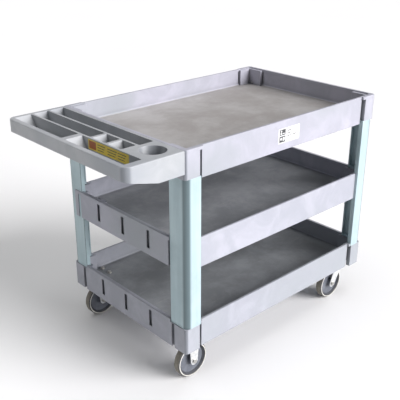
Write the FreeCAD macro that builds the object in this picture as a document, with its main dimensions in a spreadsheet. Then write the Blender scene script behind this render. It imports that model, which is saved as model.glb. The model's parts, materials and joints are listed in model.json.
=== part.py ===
import FreeCAD, Part
import math
import os
import re

import Sketcher
from FreeCAD import Placement, Rotation, Vector

# Rolling utility cart: three moulded trays on four corner legs, a tool tray handle on one end,
# two rigid casters under the handle end and two swivel casters under the far end.
# Frame: +X away from the handle, +Y to the left of someone pushing, +Z up, floor at z = 0,
# origin under the middle of the overall box.

DIMENSIONS = [
    # overall
    ("overall_length", 1152.0),
    ("overall_width", 638.0),
    # shelves, measured from the middle of the shelves
    ("shelf_half_length", 470.0),
    ("shelf_half_width", 311.0),
    ("shelf_height", 102.0),
    ("top_rim_z", 838.0),
    ("middle_rim_z", 538.0),
    ("bottom_rim_z", 240.0),
    ("floor_depth", 67.0),
    ("floor_thickness", 5.0),
    ("end_wall", 12.0),
    ("side_wall", 8.0),
    ("shelf_corner_radius", 11.0),
    ("rib_thickness", 4.0),
    ("rib_drop", 26.0),
    # recesses in the end walls
    ("slot_width", 15.0),
    ("slot_pitch", 137.0),
    ("slot_top", 15.0),
    ("slot_bottom", 78.0),
    ("skin", 3.5),
    ("cavity_half_length", 232.0),
    # corner sockets and legs, measured inwards from the corner
    ("socket_inner_x", 443.0),
    ("socket_inner_y", 294.0),
    ("socket_end_x", 388.0),
    ("socket_end_y", 232.0),
    ("leg_edge_x", 405.0),
    ("leg_edge_y", 241.0),
    ("lip_reach_y", 281.0),
    ("leg_inner_x", 451.0),
    ("leg_inner_y", 303.0),
    ("leg_outer_x", 467.0),
    ("leg_corner_radius", 22.0),
    ("leg_top_z", 746.0),
    ("leg_bottom_z", 230.0),
    ("tongue_length", 52.0),
    ("fit_gap", 0.3),
    # tool tray handle
    ("handle_depth", 72.0),
    ("handle_front_depth", 43.0),
    ("handle_flat", 97.0),
    ("handle_radius", 26.0),
    ("handle_wall", 4.0),
    # casters
    ("caster_x", 402.0),
    ("caster_y", 262.0),
    ("caster_height", 158.0),
    ("caster_trail", 46.0),
    ("plate_length", 80.0),
    ("plate_width", 62.0),
    ("plate_thickness", 3.0),
    ("bolt_pitch_x", 64.0),
    ("bolt_pitch_y", 45.0),
    ("bolt_radius", 4.0),
    ("wheel_radius", 63.5),
    ("wheel_width", 28.0),
    ("fork_inside", 37.0),
    ("fork_metal", 3.0),
    ("fork_tip_radius", 15.0),
    ("axle_radius", 5.0),
    ("sleeve_radius", 8.0),
    ("running_gap", 0.06),
    ("kingpin_radius", 6.0),
    ("crown_radius", 29.0),
    ("ball_circle_radius", 22.0),
    ("ball_radius", 2.6),
]

doc = FreeCAD.newDocument("UtilityCart")
sheet = doc.addObject("Spreadsheet::Sheet", "Sizes")
for row, (alias, value) in enumerate(DIMENSIONS, start=1):
    sheet.set(f"A{row}", alias)
    sheet.set(f"B{row}", str(value))
    sheet.setAlias(f"B{row}", alias)
doc.recompute()

SIZE = {alias: float(sheet.get(alias)) for alias, _ in DIMENSIONS}
ALIAS = re.compile(r"\b(" + "|".join(alias for alias, _ in DIMENSIONS) + r")\b")
MIDDLE = "(overall_length / 2 - shelf_half_length)"
MIDDLE_X = SIZE["overall_length"] / 2 - SIZE["shelf_half_length"]
parts = []


# ---------------------------------------------------------------- helpers


def bind(obj, prop, text):
    """Ties a property to an expression in the sheet's aliases."""
    obj.setExpression(prop, ALIAS.sub(r"Sizes.\1", text))


def place(obj, x="0", y="0", z="0"):
    """Ties an object's position to three expressions."""
    for axis, text in zip("xyz", (x, y, z)):
        bind(obj, f"Placement.Base.{axis}", text)
    return obj


def box(name, x, y, z):
    """A box between three pairs of expressions, low and high."""
    block = doc.addObject("Part::Box", name)
    for prop, (low, high) in zip(("Length", "Width", "Height"), (x, y, z)):
        bind(block, prop, f"({high}) - ({low})")
    return place(block, x[0], y[0], z[0])


def cylinder(name, radius, height, x, y, z, along="Z"):
    """A cylinder that starts at x, y, z and runs along +Z, or along +X or +Y."""
    rod = doc.addObject("Part::Cylinder", name)
    bind(rod, "Radius", radius)
    bind(rod, "Height", height)
    turn = {"Z": Rotation(), "X": Rotation(Vector(0, 1, 0), 90), "Y": Rotation(Vector(1, 0, 0), -90)}[along]
    rod.Placement = Placement(Vector(), turn)
    return place(rod, x, y, z)


def hexagon(name, across_flats, height, x, y, z, along="Z"):
    """A hexagonal bar for bolt heads and nuts."""
    prism = doc.addObject("Part::Prism", name)
    prism.Polygon = 6
    bind(prism, "Circumradius", f"({across_flats}) / 1.7320508")
    bind(prism, "Height", height)
    turn = {"Z": Rotation(), "X": Rotation(Vector(0, 1, 0), 90), "Y": Rotation(Vector(1, 0, 0), -90)}[along]
    prism.Placement = Placement(Vector(), turn)
    return place(prism, x, y, z)


def fuse(name, pieces):
    """One solid from several that touch."""
    joined = doc.addObject("Part::MultiFuse", name)
    joined.Shapes = pieces
    joined.Refine = True
    return joined


def group(name, pieces):
    """Separate solids kept together as one sub-part."""
    together = doc.addObject("Part::Compound", name)
    together.Links = pieces
    return together


def cut(name, base, tools):
    """The base with every tool taken away."""
    tool = tools[0] if len(tools) == 1 else fuse(f"{name}_tools", tools)
    result = doc.addObject("Part::Cut", name)
    result.Base = base
    result.Tool = tool
    result.Refine = True
    return result


def fillet(name, base, chosen, radius):
    """Rounds the edges of the base that the test picks."""
    doc.recompute()
    rounded = doc.addObject("Part::Fillet", name)
    rounded.Base = base
    edges = [(n, radius, radius) for n, edge in enumerate(base.Shape.Edges, start=1) if chosen(edge)]
    rounded.Edges = edges
    return rounded


def upright(edge):
    """True for a straight vertical edge."""
    low, high = edge.BoundBox.ZMin, edge.BoundBox.ZMax
    return high - low > 1 and edge.BoundBox.XLength < 0.01 and edge.BoundBox.YLength < 0.01


def level_at(z):
    """A test for edges that lie at one height."""
    return lambda edge: abs(edge.BoundBox.ZMin - z) < 0.01 and abs(edge.BoundBox.ZMax - z) < 0.01


def add_part(obj, label):
    """Registers a finished sub-part under the name of its node."""
    obj.Label = label
    parts.append(obj)
    return obj


def mirrored(sign, near, far, middle="0"):
    """The low and high ends of a span on the + or - side of a middle line."""
    if sign > 0:
        return f"{middle} + {near}", f"{middle} + {far}"
    return f"{middle} - ({far})", f"{middle} - ({near})"


def span_x(sign, near, far):
    return mirrored(sign, near, far, MIDDLE)


def span_y(sign, near, far):
    return mirrored(sign, near, far)


CORNERS = {
    "rear_right": (-1, -1),
    "rear_left": (-1, 1),
    "front_right": (1, -1),
    "front_left": (1, 1),
}
# At these two corners the middle shelf's end wall laps over the leg; at the other two the leg is outside.
LAPPED = ("rear_left", "front_right")


# ---------------------------------------------------------------- shelves


def corner_sockets(name, sx, sy, low, top):
    """The thick L-shaped block of one corner, which holds a leg."""
    lengths = box(
        f"{name}_block_x",
        span_x(sx, "socket_end_x", "shelf_half_length - 1"),
        span_y(sy, "socket_inner_y", "shelf_half_width - 1"),
        (low, top),
    )
    widths = box(
        f"{name}_block_y",
        span_x(sx, "socket_inner_x", "shelf_half_length - 1"),
        span_y(sy, "socket_end_y", "shelf_half_width - 1"),
        (low, top),
    )
    return [lengths, widths]


def tongue_room(name, sx, sy, low, high, gap):
    """The two slabs of a leg's tongue, grown by a gap."""
    along_x = box(
        f"{name}_x",
        span_x(sx, f"leg_edge_x + 10 - {gap}", f"leg_outer_x - 6 + {gap}"),
        span_y(sy, f"leg_inner_y - 3 - {gap}", f"leg_inner_y + 3 + {gap}"),
        (low, high),
    )
    along_y = box(
        f"{name}_y",
        span_x(sx, f"leg_inner_x - 2 - {gap}", f"leg_inner_x + 6 + {gap}"),
        span_y(sy, f"leg_edge_y + 25 - {gap}", f"leg_inner_y + 3 + {gap}"),
        (low, high),
    )
    return [along_x, along_y]


def leg_slabs(name, sx, sy, low, high, gap, beyond="0"):
    """The two slabs of a leg's angle section, grown by a gap and reaching beyond its outer faces."""
    side = box(
        f"{name}_side",
        span_x(sx, f"leg_edge_x - {gap}", f"leg_outer_x + {beyond}"),
        span_y(sy, f"leg_inner_y - {gap}", f"overall_width / 2 + {beyond}"),
        (low, high),
    )
    end = box(
        f"{name}_end",
        span_x(sx, f"leg_inner_x - {gap}", f"leg_outer_x + {beyond}"),
        span_y(sy, f"leg_edge_y - {gap}", f"overall_width / 2 + {beyond}"),
        (low, high),
    )
    return [side, end]


def lapped_leg_room(name, sx, sy, low, high):
    """The room for a leg behind the middle shelf's end wall, which keeps a thin lip over it."""
    side, end = leg_slabs(name, sx, sy, low, high, "fit_gap", "fit_gap")
    outside = box(
        f"{name}_outside",
        span_x(sx, "leg_inner_x", "shelf_half_length + 1"),
        span_y(sy, "lip_reach_y", "overall_width / 2"),
        (low, high),
    )
    return [side, end, outside]


def floor_ribs(name, base_z):
    """The grid of ribs under a shelf's floor."""
    top = f"{base_z} + shelf_height - floor_depth - 1"
    low = f"{top} - rib_drop"
    ribs = []
    for n, share in enumerate((-0.6, -0.2, 0.2, 0.6)):
        centre = f"{MIDDLE} + {share} * shelf_half_length"
        spread = (f"{centre} - rib_thickness / 2", f"{centre} + rib_thickness / 2")
        across = ("-shelf_half_width + 4", "shelf_half_width - 4")
        ribs.append(box(f"{name}_cross_rib{n}", spread, across, (low, top)))
    for n, share in enumerate((-0.33, 0.33)):
        centre = f"{share} * shelf_half_width"
        spread = (f"{centre} - rib_thickness / 2", f"{centre} + rib_thickness / 2")
        long_span = (f"{MIDDLE} - shelf_half_length + 4", f"{MIDDLE} + shelf_half_length - 4")
        ribs.append(box(f"{name}_long_rib{n}", long_span, spread, (low, top)))
    return ribs


def wall_slots(name, base_z, level):
    """The narrow recesses in the end walls and beside each leg."""
    tools = []
    top = f"{base_z} + shelf_height"
    for sx in (-1, 1):
        hollow_x = span_x(sx, "shelf_half_length - end_wall + 3", "shelf_half_length - skin")
        hollow_y = ("-cavity_half_length + 6", "cavity_half_length - 6")
        hollow_z = (f"{base_z} - 1", f"{top} - slot_top + 3")
        tools.append(box(f"{name}_hollow{sx + 1}", hollow_x, hollow_y, hollow_z))
        through = span_x(sx, "shelf_half_length - skin - 1", "shelf_half_length + 1")
        for n in (-1, 0, 1):
            spread = (f"{n} * slot_pitch - slot_width / 2", f"{n} * slot_pitch + slot_width / 2")
            heights = (f"{top} - slot_bottom", f"{top} - slot_top")
            tools.append(box(f"{name}_slot{sx + 1}{n + 1}", through, spread, heights))
    for corner, (sx, sy) in CORNERS.items():
        if level != "middle" or corner in LAPPED:
            beside = span_y(sy, "leg_edge_y + 6", "leg_edge_y + 6 + slot_width")
            deep = span_x(sx, "shelf_half_length - 9", "shelf_half_length + 1")
            tools.append(box(f"{name}_{corner}_end_slot", deep, beside, (f"{base_z} - 1", f"{top} - 12")))
        else:
            beside = span_y(sy, "leg_edge_y - 5", "leg_edge_y")
            deep = span_x(sx, "shelf_half_length - 9", "shelf_half_length + 1")
            tools.append(box(f"{name}_{corner}_end_groove", deep, beside, (f"{base_z} - 1", f"{top} - 12")))
        if level != "middle":
            beside = span_x(sx, "leg_edge_x - 9", "leg_edge_x + 6")
            deep = span_y(sy, "shelf_half_width - 9", "overall_width / 2 + 1")
            tools.append(box(f"{name}_{corner}_side_slot", beside, deep, (f"{base_z} - 1", f"{top} - 10")))
    return tools


def corner_grooves(name, rim):
    """The upright grooves inside the walls, next to each corner's block."""
    tools = []
    heights = (f"{rim} - floor_depth + 8", f"{rim} - 9")
    for corner, (sx, sy) in CORNERS.items():
        beside_x = span_x(sx, "socket_end_x - 5", "socket_end_x")
        into_side = span_y(sy, "shelf_half_width - side_wall - 1", "shelf_half_width - 4")
        tools.append(box(f"{name}_{corner}_groove_x", beside_x, into_side, heights))
        beside_y = span_y(sy, "socket_end_y - 5", "socket_end_y")
        into_end = span_x(sx, "shelf_half_length - end_wall - 1", "shelf_half_length - end_wall + 4")
        tools.append(box(f"{name}_{corner}_groove_y", into_end, beside_y, heights))
    return tools


def side_recesses(name, base_z, rim):
    """Sets the long walls back between the corner pads, which stand in line with the legs."""
    spread = (f"{MIDDLE} - leg_edge_x + 9", f"{MIDDLE} + leg_edge_x - 9")
    return [
        box(f"{name}_recess{sy + 1}", spread, span_y(sy, "shelf_half_width", "overall_width / 2 + 1"),
            (f"{base_z} - 1", f"{rim} + 1"))
        for sy in (-1, 1)
    ]


def floor_holes(name, base_z, level):
    """The oblong holes in the middle shelf's floor, and the bottom shelf's bolt holes."""
    tools = []
    low, high = f"{base_z} + 1", f"{base_z} + shelf_height - floor_depth + 1"
    if level == "middle":
        for corner, (sx, sy) in CORNERS.items():
            for row in (-1, 1):
                centre = f"caster_x + {row} * bolt_pitch_x / 2"
                across = span_x(sx, f"{centre} - 6", f"{centre} + 6")
                along = span_y(sy, "caster_y - 31", "caster_y + 30")
                tools.append(box(f"{name}_{corner}_oblong{row + 1}", across, along, (low, high)))
    if level == "bottom":
        for n, (x, y) in enumerate(caster_bolt_places()):
            tools.append(cylinder(f"{name}_bolt_hole{n}", "bolt_radius + 0.4", "60", str(x), str(y), low))
    return tools


def make_shelf(label, rim, level):
    """One moulded tray: walls, floor, ribs, corner sockets and recesses."""
    base_z = f"{rim} - shelf_height"
    rim_height = SIZE[rim]
    half_width = "shelf_half_width" if level == "middle" else "overall_width / 2"
    block = box(
        f"{label}_block",
        (f"{MIDDLE} - shelf_half_length", f"{MIDDLE} + shelf_half_length"),
        (f"-({half_width})", half_width),
        (base_z, rim),
    )
    rounded = fillet(f"{label}_rounded", block, upright, SIZE["shelf_corner_radius"])
    outer = fillet(f"{label}_outer", rounded, level_at(rim_height), 3.0)

    above = box(
        f"{label}_above",
        (f"{MIDDLE} - shelf_half_length + end_wall", f"{MIDDLE} + shelf_half_length - end_wall"),
        ("-shelf_half_width + side_wall", "shelf_half_width - side_wall"),
        (f"{rim} - floor_depth", f"{rim} + 20"),
    )
    above_round = fillet(f"{label}_above_round", above, upright, 14.0)
    inside = fillet(f"{label}_inside", above_round, level_at(rim_height - SIZE["floor_depth"]), 7.0)

    below = box(
        f"{label}_below",
        (f"{MIDDLE} - shelf_half_length + end_wall", f"{MIDDLE} + shelf_half_length - end_wall"),
        ("-shelf_half_width + side_wall", "shelf_half_width - side_wall"),
        (f"{base_z} - 1", f"{rim} - floor_depth - floor_thickness"),
    )
    tray = cut(f"{label}_tray", outer, [inside, below])

    added = [tray] + floor_ribs(label, base_z)
    socket_low = "caster_height" if level == "bottom" else base_z
    for corner, (sx, sy) in CORNERS.items():
        added += corner_sockets(f"{label}_{corner}", sx, sy, socket_low, f"{rim} - 4")
        if level == "bottom":
            added.append(
                box(
                    f"{label}_{corner}_pad",
                    span_x(sx, "caster_x - plate_length / 2 - 5", "caster_x + plate_length / 2"),
                    span_y(sy, "caster_y - plate_width / 2 - 5", "caster_y + plate_width / 2 + 5"),
                    ("caster_height", f"{rim} - floor_depth - 1"),
                )
            )
    solid = fuse(f"{label}_solid", added)

    removed = wall_slots(label, base_z, level) + corner_grooves(label, rim)
    removed += floor_holes(label, base_z, level)
    if level != "middle":
        removed += side_recesses(label, base_z, rim)
    for corner, (sx, sy) in CORNERS.items():
        name = f"{label}_{corner}_leg_room"
        if level == "middle" and corner in LAPPED:
            removed += lapped_leg_room(name, sx, sy, f"{base_z} - 1", f"{rim} + 1")
        if level == "middle" and corner not in LAPPED:
            removed += leg_slabs(name, sx, sy, f"{base_z} - 1", f"{rim} + 1", "fit_gap", "8")
        if level == "top":
            removed += tongue_room(name, sx, sy, f"{base_z} - 1", "leg_top_z + tongue_length + 1", "fit_gap")
            removed += leg_slabs(f"{name}_end", sx, sy, f"{base_z} - 1", "leg_top_z", "fit_gap", "8")
        if level == "bottom":
            removed += tongue_room(name, sx, sy, "leg_bottom_z - tongue_length - 1", f"{rim} + 1", "fit_gap")
            removed += leg_slabs(f"{name}_end", sx, sy, "leg_bottom_z", f"{rim} + 1", "fit_gap", "8")
    for x, y, z, sx in leg_screw_places():
        if abs(z - rim_height) < SIZE["shelf_height"]:
            start = x - 8 if sx > 0 else x - 12
            hole = f"{label}_screw_hole{len(removed)}"
            removed.append(cylinder(hole, "2.3", "20", str(start), str(y), str(z), "X"))
    if level == "top":
        for y, z in HANDLE_SCREW_PLACES:
            start = f"{MIDDLE} - shelf_half_length - 2"
            hole = f"{label}_handle_hole{len(removed)}"
            removed.append(cylinder(hole, "2.8", "end_wall + 4", start, str(y), str(z), "X"))
    return add_part(cut(f"{label}_final", solid, removed), label)


def leg_screw_places():
    """Where each leg is screwed to each shelf: x, y, z of the screw's head seat, and its end's sign."""
    places = []
    for sx, sy in CORNERS.values():
        x = MIDDLE_X + sx * SIZE["socket_inner_x"]
        y = sy * (SIZE["leg_edge_y"] + 37)
        for z in (SIZE["leg_top_z"] + 32, SIZE["middle_rim_z"] - 33, SIZE["leg_bottom_z"] - 32):
            places.append((x, y, z, sx))
    return places


HANDLE_SCREW_PLACES = [(y, SIZE["top_rim_z"] - 48) for y in (-215.0, -70.0, 70.0, 215.0)]


# ---------------------------------------------------------------- legs


def make_leg(corner, sx, sy):
    """An angle section leg: ribbed on the inside, with a tongue at each end."""
    name = f"leg_{corner}"
    slabs = leg_slabs(name, sx, sy, "leg_bottom_z", "leg_top_z", "0")
    angle = fuse(f"{name}_angle", slabs)
    outer_x = MIDDLE_X + sx * SIZE["leg_outer_x"]
    outer_y = sy * SIZE["overall_width"] / 2

    def outside_corner(edge):
        middle = edge.BoundBox.Center
        return upright(edge) and abs(middle.x - outer_x) < 0.1 and abs(middle.y - outer_y) < 0.1

    def other_corners(edge):
        middle = edge.BoundBox.Center
        on_side = abs(middle.y - outer_y) < 0.1
        on_end = abs(middle.x - outer_x) < 0.1
        return upright(edge) and (on_side != on_end)

    rounded = fillet(f"{name}_rounded", angle, outside_corner, SIZE["leg_corner_radius"])
    softened = fillet(f"{name}_softened", rounded, other_corners, 2.0)

    tongues = tongue_room(f"{name}_top", sx, sy, "leg_top_z - 12", "leg_top_z + tongue_length", "0")
    tongues += tongue_room(f"{name}_foot", sx, sy, "leg_bottom_z - tongue_length", "leg_bottom_z + 12", "0")
    whole = fuse(f"{name}_whole", [softened] + tongues)

    pockets = []
    bays = (
        ("leg_bottom_z + 14", "middle_rim_z - shelf_height - 6"),
        ("middle_rim_z + 6", "leg_top_z - 14"),
    )
    for n, heights in enumerate(bays):
        pockets.append(
            box(
                f"{name}_bay_side{n}",
                span_x(sx, "leg_edge_x + 5", "leg_inner_x - 5"),
                span_y(sy, "leg_inner_y - 1", "overall_width / 2 - 4"),
                heights,
            )
        )
        pockets.append(
            box(
                f"{name}_bay_end{n}",
                span_x(sx, "leg_inner_x - 1", "leg_outer_x - 4"),
                span_y(sy, "leg_edge_y + 5", "leg_inner_y - 5"),
                heights,
            )
        )
    for x, y, z, screw_sx in leg_screw_places():
        if screw_sx == sx and y * sy > 0:
            start = x - 2 if sx > 0 else x - 18
            pockets.append(
                cylinder(f"{name}_pilot{len(pockets)}", "2.05", "20", str(start), str(y), str(z), "X"),
            )
    return add_part(cut(f"{name}_final", whole, pockets), name)


# ---------------------------------------------------------------- tool tray handle

# Compartments in the handle: name, x near the grip and x near the shelf (from the middle of the shelves),
# y low and y high, depth, and how far each end slopes in over that depth.
COMPARTMENTS = [
    ("outer_trough_left", -664.0, -602.0, 20.0, 300.0, 40.0, 3.0, 30.0),
    ("outer_trough_right", -664.0, -602.0, -290.0, -2.0, 40.0, 6.0, 24.0),
    ("middle_trough", -594.0, -540.0, -30.0, 300.0, 50.0, 4.0, 8.0),
    ("small_bin_left", -594.0, -540.0, -108.0, -42.0, 50.0, 4.0, 14.0),
    ("small_bin_right", -594.0, -540.0, -184.0, -120.0, 50.0, 4.0, 14.0),
    ("inner_trough", -532.0, -479.0, -190.0, 300.0, 60.0, 4.0, 8.0),
]
CUP_X, CUP_Y = -530.0, -250.0
CUP_RADIUS, CUP_BASE_RADIUS, CUP_DEPTH = 41.0, 35.0, 64.0


def tapered(name, low_x, high_x, low_y, high_y, depth, in_low, in_high, grow=0.0):
    """A trough's inside, open at the top, whose two Y ends slope inwards; grow thickens it."""
    wedge = doc.addObject("Part::Wedge", name)
    wedge.Xmin, wedge.Xmax = low_x - grow, high_x + grow
    wedge.X2min, wedge.X2max = low_x - grow, high_x + grow
    wedge.Zmin, wedge.Zmax = in_high - high_y - grow, grow - low_y - in_low
    wedge.Z2min, wedge.Z2max = -high_y - grow, grow - low_y
    wedge.Ymin, wedge.Ymax = 0.0, depth + grow
    turn = Rotation(Vector(1, 0, 0), Vector(0, 0, 1), Vector(0, -1, 0))
    wedge.Placement = Placement(Vector(), turn)
    return wedge


def make_handle():
    """The tool tray handle: a ribbed shell with troughs, bins and a cup holder let into its top."""
    name = "handle"
    outer_x = "-overall_length / 2"
    half_width = "(overall_width / 2 - 1)"
    inner_x = f"{MIDDLE} - shelf_half_length"
    block = box(
        f"{name}_block",
        (outer_x, inner_x),
        (f"-{half_width}", half_width),
        ("top_rim_z - handle_depth", "top_rim_z"),
    )
    grip_x = -SIZE["overall_length"] / 2

    def grip_corner(edge):
        return upright(edge) and abs(edge.BoundBox.Center.x - grip_x) < 0.1

    def top_edges(edge):
        away_from_shelf = edge.BoundBox.XMin < grip_x + 200
        return level_at(SIZE["top_rim_z"])(edge) and away_from_shelf

    rounded = fillet(f"{name}_rounded", block, grip_corner, SIZE["handle_radius"])
    softened = fillet(f"{name}_softened", rounded, top_edges, 3.5)

    slope = doc.addObject("Part::Wedge", f"{name}_slope")
    flat_x = MIDDLE_X - SIZE["shelf_half_length"] - SIZE["handle_flat"]
    rise = SIZE["handle_depth"] - SIZE["handle_front_depth"]
    slope.Xmin, slope.Xmax = grip_x - 10, flat_x
    slope.X2min, slope.X2max = grip_x - 10, grip_x - 9
    slope.Zmin, slope.Zmax = -SIZE["overall_width"] / 2 - 10, SIZE["overall_width"] / 2 + 10
    slope.Z2min, slope.Z2max = slope.Zmin, slope.Zmax
    slope.Ymin, slope.Ymax = 0.0, rise * (flat_x - grip_x + 10) / (flat_x - grip_x)
    slope.Placement = Placement(
        Vector(0, 0, SIZE["top_rim_z"] - SIZE["handle_depth"]), Rotation(Vector(1, 0, 0), 90)
    )
    shell_outside = cut(f"{name}_outside", softened, [slope])

    hollow_block = box(
        f"{name}_hollow_block",
        (f"{outer_x} + handle_wall", f"{inner_x} - handle_wall"),
        (f"-{half_width} + handle_wall", f"{half_width} - handle_wall"),
        ("top_rim_z - handle_depth - 1", "top_rim_z - handle_wall"),
    )

    def hollow_corner(edge):
        return upright(edge) and abs(edge.BoundBox.Center.x - grip_x - SIZE["handle_wall"]) < 0.1

    hollow = fillet(
        f"{name}_hollow", hollow_block, hollow_corner, SIZE["handle_radius"] - SIZE["handle_wall"],
    )
    shell = cut(f"{name}_shell", shell_outside, [hollow])

    wells, spaces = [], []
    for label, x0, x1, y0, y1, depth, slope_low, slope_high in COMPARTMENTS:
        low_x, high_x = MIDDLE_X + x0, MIDDLE_X + x1
        place_z = SIZE["top_rim_z"] - depth
        well = tapered(f"{name}_{label}_well", low_x, high_x, y0, y1, depth - 1, slope_low, slope_high, 3.0)
        well.Placement.Base = Vector(0, 0, place_z - 3.0)
        wells.append(well)
        space = tapered(f"{name}_{label}_space", low_x, high_x, y0, y1, depth, slope_low, slope_high)
        space.Placement.Base = Vector(0, 0, place_z)
        soft = fillet(
            f"{name}_{label}_soft", space, lambda edge, z=SIZE["top_rim_z"]: not level_at(z)(edge), 4.0,
        )
        spaces.append(soft)

    cup_x, top = MIDDLE_X + CUP_X, SIZE["top_rim_z"]
    for role, grow in (("well", 3.0), ("space", 0.0)):
        cone = doc.addObject("Part::Cone", f"{name}_cup_{role}")
        cone.Radius1, cone.Radius2 = CUP_BASE_RADIUS + grow, CUP_RADIUS + grow
        cone.Height = CUP_DEPTH + grow - (1.0 if grow else 0.0)
        cone.Placement = Placement(Vector(cup_x, CUP_Y, top - CUP_DEPTH - grow), Rotation())
        (wells if grow else spaces).append(cone)

    ribs = []
    for n, y in enumerate((-150.0, -20.0, 110.0, 230.0)):
        ribs.append(
            box(
                f"{name}_rib{n}",
                (f"{outer_x} + 2", f"{inner_x} - 2"),
                (str(y - 1.5), str(y + 1.5)),
                ("top_rim_z - handle_depth", "top_rim_z - 3"),
            )
        )
    screw_holes = []
    for n, (y, z) in enumerate(HANDLE_SCREW_PLACES):
        boss_x = (f"{inner_x} - 8", f"{inner_x} - 3")
        ribs.append(box(f"{name}_boss{n}", boss_x, (str(y - 8), str(y + 8)), (str(z - 8), str(z + 8))))
        screw_holes.append(
            cylinder(f"{name}_screw_hole{n}", "2.55", "9", f"{inner_x} - 7", str(y), str(z), "X"),
        )
    inner_works = doc.addObject("Part::MultiCommon", f"{name}_inner_works")
    inner_works.Shapes = [fuse(f"{name}_wells", wells + ribs), shell_outside]
    body = fuse(f"{name}_body", [shell, inner_works])
    return add_part(cut(f"{name}_final", body, spaces + screw_holes), "tool_tray_handle")


def make_handle_screws():
    """Pan-head screws through the top shelf's end wall into the handle's bosses."""
    screws = []
    inside = f"{MIDDLE} - shelf_half_length + end_wall"
    inside_x = MIDDLE_X - SIZE["shelf_half_length"] + SIZE["end_wall"]
    for n, (y, z) in enumerate(HANDLE_SCREW_PLACES):
        tip = f"{inside} - end_wall - 6.5"
        shank = cylinder(f"handle_screw_shank{n}", "2.5", "end_wall + 7.5", tip, str(y), str(z), "X")
        head = cylinder(f"handle_screw_head{n}", "6", "3.2", inside, str(y), str(z), "X")
        dome = fillet(f"handle_screw_dome{n}", head, lambda edge: edge.BoundBox.XMin > inside_x + 1, 2.0)
        screws.append(fuse(f"handle_screw{n}", [shank, dome]))
    add_part(group("handle_screw_set", screws), "handle_screws")


# ---------------------------------------------------------------- fasteners and labels


def make_leg_screws():
    """Pan-head screws that lock each leg into each shelf."""
    screws = []
    for n, (x, y, z, sx) in enumerate(leg_screw_places()):
        head_start = x - 2.6 if sx > 0 else x
        shank_start = x - 1 if sx > 0 else x - 14
        head = cylinder(f"leg_screw_head{n}", "4.2", "2.6", str(head_start), str(y), str(z), "X")
        shank = cylinder(f"leg_screw_shank{n}", "2", "15", str(shank_start), str(y), str(z), "X")
        screws.append(fuse(f"leg_screw{n}", [head, shank]))
    return add_part(group("leg_screw_set", screws), "leg_screws")


def caster_bolt_places():
    """The four bolt centres of each caster."""
    places = []
    for sx, sy in CORNERS.values():
        for row in (-1, 1):
            for side in (-1, 1):
                x = MIDDLE_X + sx * (SIZE["caster_x"] + row * SIZE["bolt_pitch_x"] / 2)
                y = sy * (SIZE["caster_y"] + side * SIZE["bolt_pitch_y"] / 2)
                places.append((x, y))
    return places


def make_caster_fasteners():
    """Hex bolts, washers and nuts that hold the casters under the bottom shelf."""
    floor = "bottom_rim_z - floor_depth"
    under = "caster_height - plate_thickness"
    bolts, washers, nuts = [], [], []
    for n, (x, y) in enumerate(caster_bolt_places()):
        at = (str(x), str(y))
        head = hexagon(f"caster_bolt_head{n}", "13", "5.3", *at, f"{floor} + 1.6")
        reach = f"{floor} + 2 - ({under} - 7.6)"
        shank = cylinder(f"caster_bolt_shank{n}", "bolt_radius", reach, *at, f"{under} - 7.6")
        bolts.append(fuse(f"caster_bolt{n}", [head, shank]))
        disc = cylinder(f"caster_washer_disc{n}", "8.5", "1.6", *at, floor)
        bore = cylinder(f"caster_washer_bore{n}", "bolt_radius + 0.2", "4", *at, f"{floor} - 1")
        washers.append(cut(f"caster_washer{n}", disc, [bore]))
        blank = hexagon(f"caster_nut_blank{n}", "13", "6.5", *at, f"{under} - 6.5")
        bore = cylinder(f"caster_nut_bore{n}", "bolt_radius + 0.05", "10", *at, f"{under} - 8")
        nuts.append(cut(f"caster_nut{n}", blank, [bore]))
    add_part(group("caster_bolt_set", bolts), "caster_bolts")
    add_part(group("caster_washer_set", washers), "caster_washers")
    add_part(group("caster_nut_set", nuts), "caster_nuts")


def make_labels():
    """Two plain stickers: one on the long side of the top shelf, one in the handle's outer trough."""
    side = box(
        "side_sticker",
        (f"{MIDDLE} - 57", f"{MIDDLE} + 47"),
        ("-shelf_half_width - 0.3", "-shelf_half_width"),
        ("top_rim_z - 77", "top_rim_z - 27"),
    )
    add_part(side, "side_label")
    trough = box(
        "trough_sticker",
        (f"{MIDDLE} - 602.3", f"{MIDDLE} - 602"),
        ("-232", "-31"),
        ("top_rim_z - 35", "top_rim_z - 3"),
    )
    add_part(trough, "trough_label")


# ---------------------------------------------------------------- casters


def origin_plane(body, role):
    """One of a body's own origin planes."""
    return next(item for item in body.Origin.OriginFeatures if item.Role == role)


def new_sketch(body, name, role, lift="0"):
    """A sketch on one of the body's planes, lifted along the plane's normal."""
    sketch = body.newObject("Sketcher::SketchObject", name)
    sketch.AttachmentSupport = [(origin_plane(body, role), "")]
    sketch.MapMode = "FlatFace"
    if lift != "0":
        bind(sketch, "AttachmentOffset.Base.z", lift)
    return sketch


def dimension(sketch, name, constraint, text):
    """A named driving dimension tied to the sheet."""
    number = sketch.addConstraint(constraint)
    sketch.renameConstraint(number, name)
    bind(sketch, f"Constraints.{name}", text)


def value_of(text):
    """The number that an expression in aliases stands for, for a sketch's first drawing."""
    filled = ALIAS.sub(lambda found: f"({SIZE[found.group(1)]})", text)
    return FreeCAD.Units.Quantity(filled).Value


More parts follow.
